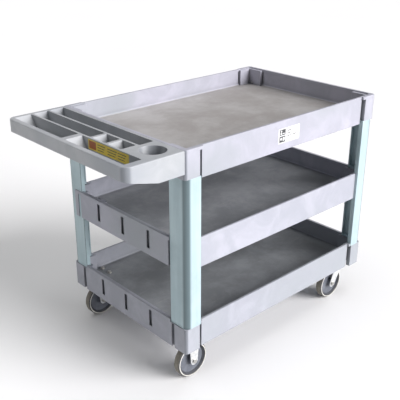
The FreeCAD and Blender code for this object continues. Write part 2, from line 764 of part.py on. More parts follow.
def polygon_sketch(body, name, role, corners, lift="0"):
    """A closed outline whose corners are pairs of expressions."""
    sketch = new_sketch(body, name, role, lift)
    points = [Vector(value_of(u), value_of(v), 0) for u, v in corners]
    count = len(points)
    for n in range(count):
        sketch.addGeometry(Part.LineSegment(points[n], points[(n + 1) % count]), False)
    for n in range(count):
        sketch.addConstraint(Sketcher.Constraint("Coincident", n, 2, (n + 1) % count, 1))
    for n, (u, v) in enumerate(corners):
        across = Sketcher.Constraint("DistanceX", -1, 1, n, 1, points[n].x)
        up = Sketcher.Constraint("DistanceY", -1, 1, n, 1, points[n].y)
        dimension(sketch, f"across{n}", across, u)
        dimension(sketch, f"up{n}", up, v)
    return sketch


def circle_sketch(body, name, role, circles, lift="0"):
    """Circles given as (u, v, radius) expressions."""
    sketch = new_sketch(body, name, role, lift)
    for n, (u, v, radius) in enumerate(circles):
        centre = Vector(value_of(u), value_of(v), 0)
        sketch.addGeometry(Part.Circle(centre, Vector(0, 0, 1), value_of(radius)), False)
        dimension(sketch, f"across{n}", Sketcher.Constraint("DistanceX", -1, 1, n, 3, centre.x), u)
        dimension(sketch, f"up{n}", Sketcher.Constraint("DistanceY", -1, 1, n, 3, centre.y), v)
        dimension(sketch, f"radius{n}", Sketcher.Constraint("Radius", n, value_of(radius)), radius)
    return sketch


def fork_sketch(body, name, near_top, far_top, top_height):
    """A fork leg's outline: round at the axle, tapering up to its top edge. The axle is the sketch's origin."""
    sketch = new_sketch(body, name, "XZ_Plane")
    radius = SIZE["fork_tip_radius"]
    near, far, height = value_of(near_top), value_of(far_top), value_of(top_height)
    arc = Part.ArcOfCircle(
        Part.Circle(Vector(), Vector(0, 0, 1), radius), math.radians(185), math.radians(355),
    )
    sketch.addGeometry(arc, False)
    sketch.addGeometry(Part.LineSegment(arc.EndPoint, Vector(far, height, 0)), False)
    sketch.addGeometry(Part.LineSegment(Vector(far, height, 0), Vector(near, height, 0)), False)
    sketch.addGeometry(Part.LineSegment(Vector(near, height, 0), arc.StartPoint), False)
    sketch.addConstraint(Sketcher.Constraint("Coincident", 0, 3, -1, 1))
    sketch.addConstraint(Sketcher.Constraint("Tangent", 0, 2, 1, 1))
    sketch.addConstraint(Sketcher.Constraint("Coincident", 1, 2, 2, 1))
    sketch.addConstraint(Sketcher.Constraint("Coincident", 2, 2, 3, 1))
    sketch.addConstraint(Sketcher.Constraint("Tangent", 3, 2, 0, 1))
    dimension(sketch, "tip", Sketcher.Constraint("Radius", 0, radius), "fork_tip_radius")
    dimension(sketch, "far", Sketcher.Constraint("DistanceX", -1, 1, 1, 2, far), far_top)
    dimension(sketch, "near", Sketcher.Constraint("DistanceX", -1, 1, 2, 2, near), near_top)
    dimension(sketch, "rise_far", Sketcher.Constraint("DistanceY", -1, 1, 1, 2, height), top_height)
    dimension(sketch, "rise_near", Sketcher.Constraint("DistanceY", -1, 1, 2, 2, height), top_height)
    return sketch


def pad(body, name, sketch, length, both_ways=False, reverse=False):
    """Adds an extruded sketch to the body."""
    feature = body.newObject("PartDesign::Pad", name)
    feature.Profile = sketch
    feature.Midplane = both_ways
    feature.Reversed = reverse
    bind(feature, "Length", length)
    body.Tip = feature
    return feature


def pocket(body, name, sketch, length):
    """Removes an extruded sketch from the body, equally to both sides of its plane."""
    feature = body.newObject("PartDesign::Pocket", name)
    feature.Profile = sketch
    feature.Midplane = True
    bind(feature, "Length", length)
    before = body.Shape.Volume if body.Shape else 0.0
    body.Tip = feature
    doc.recompute()
    if not body.Shape.Volume < before - 0.01:
        raise RuntimeError(f"{name} cut nothing")
    return feature


def revolve(body, name, sketch):
    """Adds a sketch on the YZ plane turned once round the Y axis."""
    feature = body.newObject("PartDesign::Revolution", name)
    feature.Profile = sketch
    feature.ReferenceAxis = (sketch, ["H_Axis"])
    feature.Angle = 360.0
    body.Tip = feature
    return feature


def new_body(name, x, y, z):
    """A body whose own origin stands at x, y, z."""
    body = doc.addObject("PartDesign::Body", name)
    return place(body, x, y, z)


def round_edges(body, name, chosen, radius):
    """Fillets the picked edges of the body as it stands."""
    doc.recompute()
    tip = body.Tip
    names = [f"Edge{n}" for n, edge in enumerate(tip.Shape.Edges, start=1) if chosen(edge)]
    feature = body.newObject("PartDesign::Fillet", name)
    feature.Base = (tip, names)
    feature.Radius = radius
    body.Tip = feature
    return feature


def make_wheel(corner, x, y):
    """Wheel core with recessed faces, and the tyre around it."""
    name = f"wheel_{corner}"
    core = new_body(f"{name}_core", x, y, "wheel_radius")
    bore = "sleeve_radius + running_gap"
    hub = "fork_inside / 2 - 0.8"
    outline = [
        (f"-({hub})", bore), (hub, bore), (hub, "14.5"),
        ("5.5", "17.5"), ("5.5", "49"), ("3", "49"), ("3", "52"),
        ("-3", "52"), ("-3", "49"), ("-5.5", "49"), ("-5.5", "17.5"), (f"-({hub})", "14.5"),
    ]
    revolve(core, f"{name}_core_turned", polygon_sketch(core, f"{name}_core_outline", "YZ_Plane", outline))
    add_part(core, f"wheel_core_{corner}")

    tyre = new_body(f"{name}_tyre", x, y, "wheel_radius")
    half = "wheel_width / 2"
    outline = [
        ("-5.5", "49"), ("-3", "49"), ("-3", "52"), ("3", "52"), ("3", "49"), ("5.5", "49"),
        (f"{half} - 1.5", "56"), (half, "57"), (half, "wheel_radius - 4"), (f"{half} - 4", "wheel_radius"),
        (f"-({half}) + 4", "wheel_radius"), (f"-({half})", "wheel_radius - 4"), (f"-({half})", "57"),
        (f"-({half}) + 1.5", "56"),
    ]
    revolve(tyre, f"{name}_tyre_turned", polygon_sketch(tyre, f"{name}_tyre_outline", "YZ_Plane", outline))

    def shoulder(edge):
        radius = getattr(edge.Curve, "Radius", 0.0)
        return radius > SIZE["wheel_radius"] - 4.01

    round_edges(tyre, f"{name}_tyre_shoulders", shoulder, 3.5)
    add_part(tyre, f"tyre_{corner}")


def make_axle(corner, x, y):
    """Axle bolt, sleeve and lock nut; the bolt head is on the cart's outer side."""
    outside = 1 if y.startswith("caster") else -1
    fork_face = "fork_inside / 2 + fork_metal"
    lock = f"axle_{corner}"

    def along(near, far):
        return (near, far) if outside > 0 else (f"-({far})", f"-({near})")

    head_low, _ = along(fork_face, f"{fork_face} + 5.5")
    shank_low, shank_high = along(f"-({fork_face}) - 9", f"{fork_face} + 2")
    nut_low, _ = along(f"-({fork_face}) - 7", f"-({fork_face})")
    head = hexagon(f"{lock}_head", "15", "5.5", x, f"{y} + {head_low}", "wheel_radius", "Y")
    reach = f"{shank_high} - ({shank_low})"
    start = f"{y} + {shank_low}"
    shank = cylinder(f"{lock}_shank", "axle_radius", reach, x, start, "wheel_radius", "Y")
    add_part(fuse(f"{lock}_bolt", [head, shank]), f"axle_bolt_{corner}")
    blank = hexagon(f"{lock}_nut_blank", "16", "7", x, f"{y} + {nut_low}", "wheel_radius", "Y")
    bore = cylinder(
        f"{lock}_nut_bore", "axle_radius + 0.05", "11", x, f"{y} + {nut_low} - 2", "wheel_radius", "Y",
    )
    add_part(cut(f"{lock}_nut", blank, [bore]), f"axle_nut_{corner}")
    start = f"{y} - fork_inside / 2"
    tube = cylinder(
        f"{lock}_tube", "sleeve_radius", "fork_inside - 0.1", x, f"{start} + 0.05", "wheel_radius", "Y",
    )
    bore = cylinder(
        f"{lock}_tube_bore", "axle_radius + 0.05", "fork_inside + 4", x, f"{start} - 2", "wheel_radius", "Y"
    )
    add_part(cut(f"{lock}_sleeve", tube, [bore]), f"axle_sleeve_{corner}")


def plate_holes():
    """The four bolt holes of a caster plate, as sketch circles."""
    return [
        (f"{sx} * bolt_pitch_x / 2", f"{sy} * bolt_pitch_y / 2", "bolt_radius + 0.4")
        for sx in (-1, 1)
        for sy in (-1, 1)
    ]


def fork_cheeks(body, name, near_top, far_top, top_height):
    """Two parallel cheeks joined by a bridge at the top, with the axle hole through both."""
    outline = fork_sketch(body, f"{name}_outline", near_top, far_top, top_height)
    pad(body, f"{name}_cheeks", outline, "fork_inside + 2 * fork_metal", both_ways=True)
    room = [
        ("-60", "-30"), ("60", "-30"), ("60", f"{top_height} - fork_metal"),
        ("-60", f"{top_height} - fork_metal"),
    ]
    doc.recompute()
    pocket(body, f"{name}_wheel_room", polygon_sketch(body, f"{name}_room", "XZ_Plane", room), "fork_inside")
    pocket(
        body,
        f"{name}_axle_hole",
        circle_sketch(body, f"{name}_axle_circle", "XZ_Plane", [("0", "0", "axle_radius + 0.1")]),
        "fork_inside + 20",
    )


def make_rigid_bracket(corner, x, y):
    """Rigid caster bracket: a plate with two tapering cheeks."""
    body = new_body(f"rigid_{corner}", x, y, "wheel_radius")
    rise = "caster_height - wheel_radius - plate_thickness"
    fork_cheeks(body, f"rigid_{corner}", "-22", "22", rise)
    half_length, half_width = "plate_length / 2", "plate_width / 2"
    corners = [
        (f"-{half_length}", f"-{half_width}"), (half_length, f"-{half_width}"),
        (half_length, half_width), (f"-{half_length}", half_width),
    ]
    plate = polygon_sketch(body, f"rigid_{corner}_plate_outline", "XY_Plane", corners, rise)
    pad(body, f"rigid_{corner}_plate", plate, "plate_thickness")
    doc.recompute()
    holes = circle_sketch(body, f"rigid_{corner}_hole_circles", "XY_Plane", plate_holes(), rise)
    pocket(body, f"rigid_{corner}_holes", holes, "20")
    top = SIZE["caster_height"] - SIZE["wheel_radius"]
    round_edges(
        body,
        f"rigid_{corner}_plate_corners",
        lambda edge: upright(edge) and abs(edge.BoundBox.ZMax - top) < 0.01 and abs(edge.BoundBox.Center.x) > 39,
        6.0,
    )
    add_part(body, f"rigid_bracket_{corner}")


def make_swivel(corner, x, y):
    """Swivel caster head and fork, from the plate down."""
    under = "caster_height - plate_thickness"
    race_low = f"{under} - 6"
    crown_top = f"{race_low} - 3"
    groove_z = f"{race_low} - 1.5"

    plate_block = box(
        f"swivel_{corner}_plate_block",
        (f"{x} - plate_length / 2", f"{x} + plate_length / 2"),
        (f"{y} - plate_width / 2", f"{y} + plate_width / 2"),
        (under, "caster_height"),
    )
    plate = fillet(f"swivel_{corner}_plate_round", plate_block, upright, 6.0)
    holes = [
        cylinder(
            f"swivel_{corner}_hole{n}", "bolt_radius + 0.4", "8", f"{x} + {u}", f"{y} + {v}", f"{under} - 2",
        )
        for n, (u, v, _) in enumerate(plate_holes())
    ]
    holes.append(cylinder(f"swivel_{corner}_pin_hole", "kingpin_radius", "8", x, y, f"{under} - 2"))
    add_part(cut(f"swivel_{corner}_plate", plate, holes), f"caster_plate_{corner}")

    head = cylinder(
        f"swivel_{corner}_pin_head", "kingpin_radius + 5", "3", x, y, f"{crown_top} - fork_metal - 3.4",
    )
    pin = cylinder(
        f"swivel_{corner}_pin_shaft", "kingpin_radius",
        f"caster_height - 0.2 - ({crown_top} - fork_metal - 3)", x, y,
        f"{crown_top} - fork_metal - 3",
    )
    add_part(fuse(f"swivel_{corner}_pin", [head, pin]), f"kingpin_{corner}")

    def groove(name):
        ring = doc.addObject("Part::Torus", name)
        bind(ring, "Radius1", "ball_circle_radius")
        bind(ring, "Radius2", "ball_radius + 0.15")
        return place(ring, x, y, groove_z)

    disc = cylinder(f"swivel_{corner}_race_disc", "crown_radius", "6", x, y, race_low)
    bore = cylinder(f"swivel_{corner}_race_bore", "kingpin_radius + 0.05", "10", x, y, f"{race_low} - 2")
    race = cut(f"swivel_{corner}_race", disc, [bore, groove(f"swivel_{corner}_race_groove")])
    add_part(race, f"swivel_race_{corner}")

    balls = []
    ball_count = 14
    for n in range(ball_count):
        angle = 2 * math.pi * n / ball_count
        ball = doc.addObject("Part::Sphere", f"swivel_{corner}_ball{n}")
        bind(ball, "Radius", "ball_radius")
        u, v = round(math.cos(angle), 6), round(math.sin(angle), 6)
        balls.append(
            place(ball, f"{x} + {u} * ball_circle_radius", f"{y} + {v} * ball_circle_radius", groove_z),
        )
    add_part(group(f"swivel_{corner}_ball_ring", balls), f"swivel_balls_{corner}")

    fork = new_body(f"swivel_{corner}_fork", f"{x} - caster_trail", y, "wheel_radius")
    rise = f"{crown_top} - wheel_radius"
    fork_cheeks(fork, f"swivel_{corner}", "caster_trail - 30", "caster_trail + 20", rise)
    crown = circle_sketch(
        fork, f"swivel_{corner}_crown_circle", "XY_Plane", [("caster_trail", "0", "crown_radius")], rise
    )
    pad(fork, f"swivel_{corner}_crown", crown, "fork_metal", reverse=True)
    doc.recompute()
    pin_room = circle_sketch(
        fork, f"swivel_{corner}_pin_circle", "XY_Plane",
        [("caster_trail", "0", "kingpin_radius + running_gap")], rise
    )
    pocket(fork, f"swivel_{corner}_pin_room", pin_room, "30")
    ring_room = groove(f"swivel_{corner}_fork_groove")
    add_part(cut(f"swivel_{corner}_fork_final", fork, [ring_room]), f"swivel_fork_{corner}")


def make_casters():
    """Rigid casters under the handle end, swivel casters under the far end."""
    for corner, (sx, sy) in CORNERS.items():
        y = "caster_y" if sy > 0 else "-caster_y"
        if sx < 0:
            x = f"{MIDDLE} - caster_x"
            make_rigid_bracket(corner, x, y)
            wheel_x = x
        else:
            x = f"{MIDDLE} + caster_x"
            make_swivel(corner, x, y)
            wheel_x = f"{x} - caster_trail"
        make_wheel(corner, wheel_x, y)
        make_axle(corner, wheel_x, y)


# ---------------------------------------------------------------- build, check and write

make_shelf("top_shelf", "top_rim_z", "top")
make_shelf("middle_shelf", "middle_rim_z", "middle")
make_shelf("bottom_shelf", "bottom_rim_z", "bottom")
make_handle()
make_handle_screws()
for corner_name, (sign_x, sign_y) in CORNERS.items():
    make_leg(corner_name, sign_x, sign_y)
make_leg_screws()
make_caster_fasteners()
make_labels()
make_casters()
doc.recompute()

failed = [obj.Name for obj in doc.Objects if "Invalid" in obj.State or "Error" in obj.State]
if failed:
    raise RuntimeError(f"features failed: {failed}")
for part in parts:
    if part.Shape.isNull() or not part.Shape.isValid():
        raise RuntimeError(f"{part.Label} has no valid shape")

os.makedirs("parts", exist_ok=True)
for part in parts:
    part.Shape.exportStep(os.path.join("parts", f"{part.Label}.step"))
    solids = len(part.Shape.Solids)
    print(f"{part.Label}: {solids} solid(s), {part.Shape.Volume / 1000:.1f} cm3")
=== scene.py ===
import json
import math

import bmesh
import bpy
from mathutils import Matrix, Vector


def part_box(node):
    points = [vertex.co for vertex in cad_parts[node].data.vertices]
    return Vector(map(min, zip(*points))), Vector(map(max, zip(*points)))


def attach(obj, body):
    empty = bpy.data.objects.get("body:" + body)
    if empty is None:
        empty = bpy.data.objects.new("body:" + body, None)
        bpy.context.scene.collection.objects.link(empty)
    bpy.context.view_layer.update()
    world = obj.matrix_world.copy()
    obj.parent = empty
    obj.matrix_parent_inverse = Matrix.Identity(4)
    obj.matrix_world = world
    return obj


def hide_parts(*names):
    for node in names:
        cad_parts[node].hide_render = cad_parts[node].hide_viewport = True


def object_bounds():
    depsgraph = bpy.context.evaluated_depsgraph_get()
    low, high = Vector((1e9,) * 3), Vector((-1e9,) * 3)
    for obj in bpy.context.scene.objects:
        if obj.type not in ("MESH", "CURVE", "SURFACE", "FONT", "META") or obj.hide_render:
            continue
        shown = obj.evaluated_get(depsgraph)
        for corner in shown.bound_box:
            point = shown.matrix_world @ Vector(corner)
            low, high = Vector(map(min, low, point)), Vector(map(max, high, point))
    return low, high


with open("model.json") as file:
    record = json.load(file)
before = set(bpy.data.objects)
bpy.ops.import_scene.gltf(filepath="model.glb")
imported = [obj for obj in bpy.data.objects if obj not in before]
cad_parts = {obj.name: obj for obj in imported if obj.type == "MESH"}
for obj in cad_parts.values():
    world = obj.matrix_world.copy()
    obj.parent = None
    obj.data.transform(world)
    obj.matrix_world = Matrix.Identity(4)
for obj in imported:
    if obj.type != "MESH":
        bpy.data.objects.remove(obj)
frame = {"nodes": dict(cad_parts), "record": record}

CAD_LOW, CAD_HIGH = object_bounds()
CENTRE = (CAD_LOW + CAD_HIGH) / 2
MM = 0.001

TRAY_DEPTH = 67 * MM      # from a shelf's rim down to its floor
SCUFF_HEIGHT = 12 * MM    # how far above that floor its worn look reaches
FILM_TOP = 0.2            # a label's film, then its print, then the signs on the print:
PRINT_TOP = 0.25          # each layer's top above the label's plane, in millimetres
SIGN_TOP = 0.29
FLOOR_HALF_WIDTH = 90     # metres, so that the studio floor reaches the horizon


# ---------------------------------------------------------------- material helpers


def shade(code):
    """A linear colour from a six-digit sRGB code."""
    parts = [int(code[n:n + 2], 16) / 255 for n in (0, 2, 4)]
    linear = [v / 12.92 if v <= 0.04045 else ((v + 0.055) / 1.055) ** 2.4 for v in parts]
    return (*linear, 1.0)


class Look:
    """A procedural material being put together. Every texture is in the row frame, in metres."""

    def __init__(self, name):
        self.material = bpy.data.materials.new(name)
        self.material.use_nodes = True
        self.tree = self.material.node_tree
        self.shader = self.tree.nodes["Principled BSDF"]
        self.coords = self.tree.nodes.new("ShaderNodeTexCoord")
        self.place = self.coords.outputs["Object"]

    def node(self, kind, values=None, **settings):
        """A node with its settings, and inputs that are values or other nodes' outputs."""
        made = self.tree.nodes.new(kind)
        for key, value in settings.items():
            setattr(made, key, value)
        for key, value in (values or {}).items():
            if isinstance(value, bpy.types.NodeSocket):
                self.tree.links.new(value, made.inputs[key])
            else:
                made.inputs[key].default_value = value
        return made

    def noise(self, scale, detail=4.0, roughness=0.55, stretch=(1, 1, 1), distortion=0.0):
        """Noise in the row frame; scale is in features per metre."""
        spot = self.node("ShaderNodeMapping", {"Vector": self.place, "Scale": stretch})
        values = {
            "Vector": spot.outputs["Vector"],
            "Scale": scale,
            "Detail": detail,
            "Roughness": roughness,
            "Distortion": distortion,
        }
        return self.node("ShaderNodeTexNoise", values).outputs["Fac"]

    def ramp(self, fac, low, high):
        """A smooth step of fac from 0 at low to 1 at high."""
        values = {"Value": fac, "From Min": low, "From Max": high}
        step = self.node("ShaderNodeMapRange", values, interpolation_type="SMOOTHSTEP")
        return step.outputs["Result"]

    def calc(self, operation, first, second=0.0):
        """One arithmetic step."""
        return self.node("ShaderNodeMath", {0: first, 1: second}, operation=operation).outputs["Value"]

    def mix(self, fac, first, second):
        """Two colours mixed by fac."""
        values = {0: fac, 6: first, 7: second}
        return self.node("ShaderNodeMix", values, data_type="RGBA").outputs[2]

    def edges(self, radius):
        """1 on convex and concave edges, 0 on open faces."""
        soft = self.node("ShaderNodeBevel", {"Radius": radius}, samples=4)
        true_normal = self.node("ShaderNodeNewGeometry").outputs["Normal"]
        dot = self.node("ShaderNodeVectorMath", {0: soft.outputs[0], 1: true_normal}, operation="DOT_PRODUCT")
        return self.ramp(dot.outputs["Value"], 0.995, 0.90)

    def recess_shade_mask(self, reach):
        """1 deep inside slots, troughs and inner corners, 0 on open faces: where painted shade goes."""
        open_sky = self.node("ShaderNodeAmbientOcclusion", {"Distance": reach}, samples=8)
        return self.ramp(open_sky.outputs["AO"], 0.72, 0.30)

    def corner_shade_mask(self):
        """1 where an upright corner's surface turns from one face to the next, 0 on flat faces: where painted
        corner shade goes.
        """
        normal = self.node("ShaderNodeSeparateXYZ", {0: self.coords.outputs["Normal"]})
        across = self.calc("ABSOLUTE", normal.outputs["X"])
        along = self.calc("ABSOLUTE", normal.outputs["Y"])
        return self.ramp(self.calc("MINIMUM", across, along), 0.03, 0.42)

    def sideways(self, low, high):
        """1 where the surface faces along Y, as a wheel's side does, 0 on the tread."""
        normal = self.node("ShaderNodeSeparateXYZ", {0: self.coords.outputs["Normal"]})
        return self.ramp(self.calc("ABSOLUTE", normal.outputs["Y"]), low, high)

    def soft_edges(self, radius):
        """A normal that rounds sharp edges over."""
        return self.node("ShaderNodeBevel", {"Radius": radius}, samples=4).outputs[0]

    def bump(self, height, depth, normal=None):
        """A bump of the given depth in metres."""
        values = {"Height": height, "Distance": depth, "Strength": 1.0}
        if normal is not None:
            values["Normal"] = normal
        return self.node("ShaderNodeBump", values).outputs["Normal"]

    def finish(self, colour, roughness, normal, metallic=0.0, specular=0.5):
        """Joins the results to the shader."""
        links = self.tree.links
        links.new(colour, self.shader.inputs["Base Color"])
        links.new(roughness, self.shader.inputs["Roughness"])
        links.new(normal, self.shader.inputs["Normal"])
        self.shader.inputs["Metallic"].default_value = metallic
        self.shader.inputs["Specular IOR Level"].default_value = specular
        return self.material


def spread(look, fac, low, high):
    """A value that runs from low to high as fac runs from 0 to 1."""
    return look.calc("ADD", look.calc("MULTIPLY", fac, high - low), low)


# ---------------------------------------------------------------- materials


# Each moulding's shades: walls dark and pale, then the floor's scuffed tones dark and pale. The middle and
# bottom shelves' walls are set a little darker than the top shelf's, as painted shade for the light that
# falls off lower down; the lower floors are darker too.
SHELF_TONES = {
    "top_shelf": ("A9A9B4", "B6B5C1", "9A9694", "AEACAB"),
    "tool_tray_handle": ("A6A9AC", "B2B4B7", "8A8C8B", "9C9E9D"),
    "middle_shelf": ("A3A5AF", "B0B1BB", "7F8285", "97999C"),
    "bottom_shelf": ("9D9FA8", "ABADB6", "7D8082", "939699"),
}


def shelf_plastic(name, floor_height, wall_dark, wall_pale, worn_dark, worn_pale):
    """Structural foam plastic: swirled, finely pebbled, and scuffed to a warm grey on the shelf's floor, with
    painted shade in corners and hollows and a painted highlight along edges.
    """
    look = Look(name)
    swirl = look.noise(9, 5, 0.6, distortion=0.9)
    cloud = look.noise(2.6, 3, 0.5)
    pebble = look.noise(420, 3, 0.6)
    wall = look.mix(look.ramp(swirl, 0.35, 0.7), shade(wall_dark), shade(wall_pale))
    wall = look.mix(look.ramp(cloud, 0.4, 0.7), wall, shade("9DA1A7"))
    # Painted shade: the rounded upright corners darkened, as the dark band the light leaves between two
    # faces.
    wall = look.mix(look.calc("MULTIPLY", look.corner_shade_mask(), 0.6), wall, shade("6C7178"))

    height = look.node("ShaderNodeSeparateXYZ", {0: look.place}).outputs["Z"]
    upward = look.node("ShaderNodeSeparateXYZ", {0: look.coords.outputs["Normal"]}).outputs["Z"]
    low_down = look.calc("LESS_THAN", height, floor_height + SCUFF_HEIGHT)
    on_floor = look.calc("MULTIPLY", low_down, look.ramp(upward, 0.6, 0.9))
    blotch = look.noise(5.5, 8, 0.68, distortion=0.2)
    used = look.mix(look.ramp(blotch, 0.36, 0.66), shade(worn_dark), shade(worn_pale))
    lengthways = look.ramp(look.noise(7, 6, 0.7, stretch=(1, 22, 1)), 0.60, 0.72)
    crossways = look.ramp(look.noise(7, 6, 0.7, stretch=(26, 1, 1)), 0.62, 0.74)
    scuffs = look.calc("MAXIMUM", lengthways, crossways)
    used = look.mix(look.calc("MULTIPLY", scuffs, 0.35), used, shade("B4B1AE"))
    colour = look.mix(on_floor, wall, used)
    # Paler edges: partly edge wear, partly a painted highlight along the rims' rounded edges.
    pale_edges = look.calc("MULTIPLY", look.edges(2.5 * MM), look.ramp(look.noise(60, 4), 0.35, 0.6))
    colour = look.mix(look.calc("MULTIPLY", pale_edges, 0.35), colour, shade("D5D7E2"))
    grime = look.ramp(look.noise(30, 6, 0.7), 0.62, 0.8)
    colour = look.mix(look.calc("MULTIPLY", grime, 0.18), colour, shade("6C6A68"))
    # Painted shade: slots, troughs and inner corners darkened where ambient occlusion finds them.
    colour = look.mix(look.calc("MULTIPLY", look.recess_shade_mask(45 * MM), 0.6), colour, shade("4B4E50"))

    roughness = spread(look, swirl, 0.46, 0.66)
    normal = look.bump(pebble, 0.35 * MM, look.soft_edges(2 * MM))
    normal = look.bump(look.noise(14, 3), 1.2 * MM, normal)
    return look.finish(colour, roughness, normal, specular=0.4)


def leg_plastic():
    """Smooth satin plastic with faint vertical flow lines and a few handling marks."""
    look = Look("leg_plastic")
    flow = look.noise(30, 4, 0.6, stretch=(1, 1, 0.08))
    cloud = look.noise(5, 4, 0.6)
    colour = look.mix(look.ramp(flow, 0.35, 0.65), shade("A9BEC4"), shade("B5C9CE"))
    colour = look.mix(look.ramp(cloud, 0.45, 0.75), colour, shade("A0B4BA"))
    # Painted shade: the rounded upright corners darkened to a dark band between the lit faces.
    colour = look.mix(look.calc("MULTIPLY", look.corner_shade_mask(), 0.9), colour, shade("56676C"))
    marks = look.ramp(look.noise(22, 7, 0.75, stretch=(1, 1, 0.5)), 0.63, 0.74)
    colour = look.mix(look.calc("MULTIPLY", marks, 0.25), colour, shade("7C8A8D"))
    pale_edges = look.calc("MULTIPLY", look.edges(2 * MM), look.ramp(look.noise(70, 4), 0.4, 0.6))
    colour = look.mix(look.calc("MULTIPLY", pale_edges, 0.4), colour, shade("CFDBDE"))
    roughness = spread(look, cloud, 0.34, 0.5)
    normal = look.bump(look.noise(500, 2), 0.15 * MM, look.soft_edges(1.5 * MM))
    normal = look.bump(flow, 0.3 * MM, normal)
    return look.finish(colour, roughness, normal)


def zinc_plate():
    """Bright zinc on pressed steel, with spangle, drawn lines and dull patches."""
    look = Look("zinc_plate")
    spangle = look.noise(110, 3, 0.6)
    drawn = look.noise(60, 3, 0.6, stretch=(1, 1, 0.1))
    colour = look.mix(look.ramp(spangle, 0.4, 0.62), shade("DCDEDF"), shade("EEEFEE"))
    dull = look.ramp(look.noise(40, 6, 0.7), 0.56, 0.74)
    colour = look.mix(look.calc("MULTIPLY", dull, 0.3), colour, shade("A9A89E"))
    roughness = spread(look, spangle, 0.36, 0.54)
    normal = look.bump(drawn, 0.12 * MM, look.soft_edges(0.8 * MM))
    return look.finish(colour, roughness, normal, metallic=1.0)


def bolt_steel():
    """Plated fasteners with tool marks and a little tarnish."""
    look = Look("bolt_steel")
    marks = look.noise(900, 3, 0.6)
    tarnish = look.ramp(look.noise(160, 5, 0.7), 0.5, 0.7)
    colour = look.mix(tarnish, shade("C4C3BF"), shade("8E8A80"))
    roughness = spread(look, marks, 0.25, 0.45)
    normal = look.bump(marks, 0.05 * MM, look.soft_edges(0.5 * MM))
    return look.finish(colour, roughness, normal, metallic=1.0)


def wheel_plastic():
    """Grey moulded wheel core with dust in its recess."""
    look = Look("wheel_plastic")
    cloud = look.noise(35, 5, 0.6)
    dust = look.ramp(look.noise(90, 6, 0.7), 0.5, 0.75)
    colour = look.mix(look.ramp(cloud, 0.4, 0.65), shade("5A5E67"), shade("676B74"))
    colour = look.mix(look.calc("MULTIPLY", dust, 0.3), colour, shade("8A8984"))
    roughness = spread(look, cloud, 0.4, 0.6)
    normal = look.bump(look.noise(600, 2), 0.12 * MM, look.soft_edges(1 * MM))
    return look.finish(colour, roughness, normal)


def tyre_rubber():
    """Grey rubber: a dusty tread, a pale painted highlight on each flat side face, and painted shade on the
    sloped faces between tread and side.
    """
    look = Look("tyre_rubber")
    pits = look.noise(700, 3, 0.7)
    dust = look.ramp(look.noise(55, 7, 0.75), 0.42, 0.7)
    tread = look.mix(dust, shade("817D74"), shade("98948A"))
    # Painted highlight: the flat side faces pale, with dust.
    side_highlight = look.mix(dust, shade("CFCDC6"), shade("E2E1DB"))
    # Painted shade: the sloped side faces dark, with dust.
    dish_shade = look.mix(dust, shade("3F4146"), shade("53555A"))
    colour = look.mix(look.sideways(0.45, 0.70), tread, dish_shade)
    colour = look.mix(look.sideways(0.76, 0.92), colour, side_highlight)
    grit = look.ramp(look.noise(260, 4, 0.7), 0.6, 0.75)
    colour = look.mix(look.calc("MULTIPLY", grit, 0.3), colour, shade("8F8B80"))
    roughness = spread(look, dust, 0.62, 0.9)
    return look.finish(colour, roughness, look.bump(pits, 0.2 * MM), specular=0.3)


def printed_film(name, code, faded):
    """Sticker film of one colour, faintly uneven, with rubbed spots."""
    look = Look(name)
    cloud = look.noise(40, 5, 0.6)
    spots = look.ramp(look.noise(300, 5, 0.7), 0.63, 0.78)
    colour = look.mix(look.ramp(cloud, 0.35, 0.7), shade(code), shade(faded))
    colour = look.mix(look.calc("MULTIPLY", spots, 0.3), colour, shade("8F8B82"))
    roughness = spread(look, cloud, 0.3, 0.45)
    return look.finish(colour, roughness, look.bump(look.noise(120, 3), 0.08 * MM))


def pale_floor():
    """The studio floor: off-white with the faintest unevenness."""
    look = Look("studio_floor")
    cloud = look.noise(0.8, 3, 0.5)
    colour = look.mix(cloud, shade("F4F4F4"), shade("F8F8F8"))
    roughness = spread(look, cloud, 0.8, 0.9)
    return look.finish(colour, roughness, look.bump(look.noise(90, 2), 0.1 * MM), specular=0.2)


def dress_frame():
    """Gives every CAD node its finished material, by the record's material slots."""
    looks = {
        "leg_plastic": leg_plastic(),
        "zinc_plate": zinc_plate(),
        "bolt_steel": bolt_steel(),
        "wheel_plastic": wheel_plastic(),
        "tyre_rubber": tyre_rubber(),
        "white_sticker": printed_film("white_film", "EEEEEC", "E2E2E0"),
        "yellow_sticker": printed_film("yellow_film", "EAD24C", "DDC45A"),
    }
    for row in frame["record"]["subparts"]:
        name, slot = row["node"], row["material_slot"]
        if slot == "shelf_plastic":
            floor_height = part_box(name)[1].z - TRAY_DEPTH if name.endswith("shelf") else 0.0
            material = shelf_plastic(f"plastic_{name}", floor_height, *SHELF_TONES[name])
        else:
            material = looks[slot]
        mesh = frame["nodes"][name].data
        mesh.materials.clear()
        mesh.materials.append(material)


# ---------------------------------------------------------------- labels


def rounded_outline(left, low, right, high, radius, steps=5):
    """The corners of a rectangle with rounded ends, going round once."""
    corners = ((right, high, 0), (left, high, 90), (left, low, 180), (right, low, 270))
    points = []
    for x, y, start in corners:
        cx = x - radius if x == right else x + radius
        cy = y - radius if y == high else y + radius
        for n in range(steps + 1):
            angle = math.radians(start + 90 * n / steps)
            points.append((cx + radius * math.cos(angle), cy + radius * math.sin(angle)))
    return points


def ring_outline(x, y, radius, steps=24):
    """A circle's points."""
    return [
        (x + radius * math.cos(2 * math.pi * n / steps), y + radius * math.sin(2 * math.pi * n / steps))
        for n in range(steps)
    ]


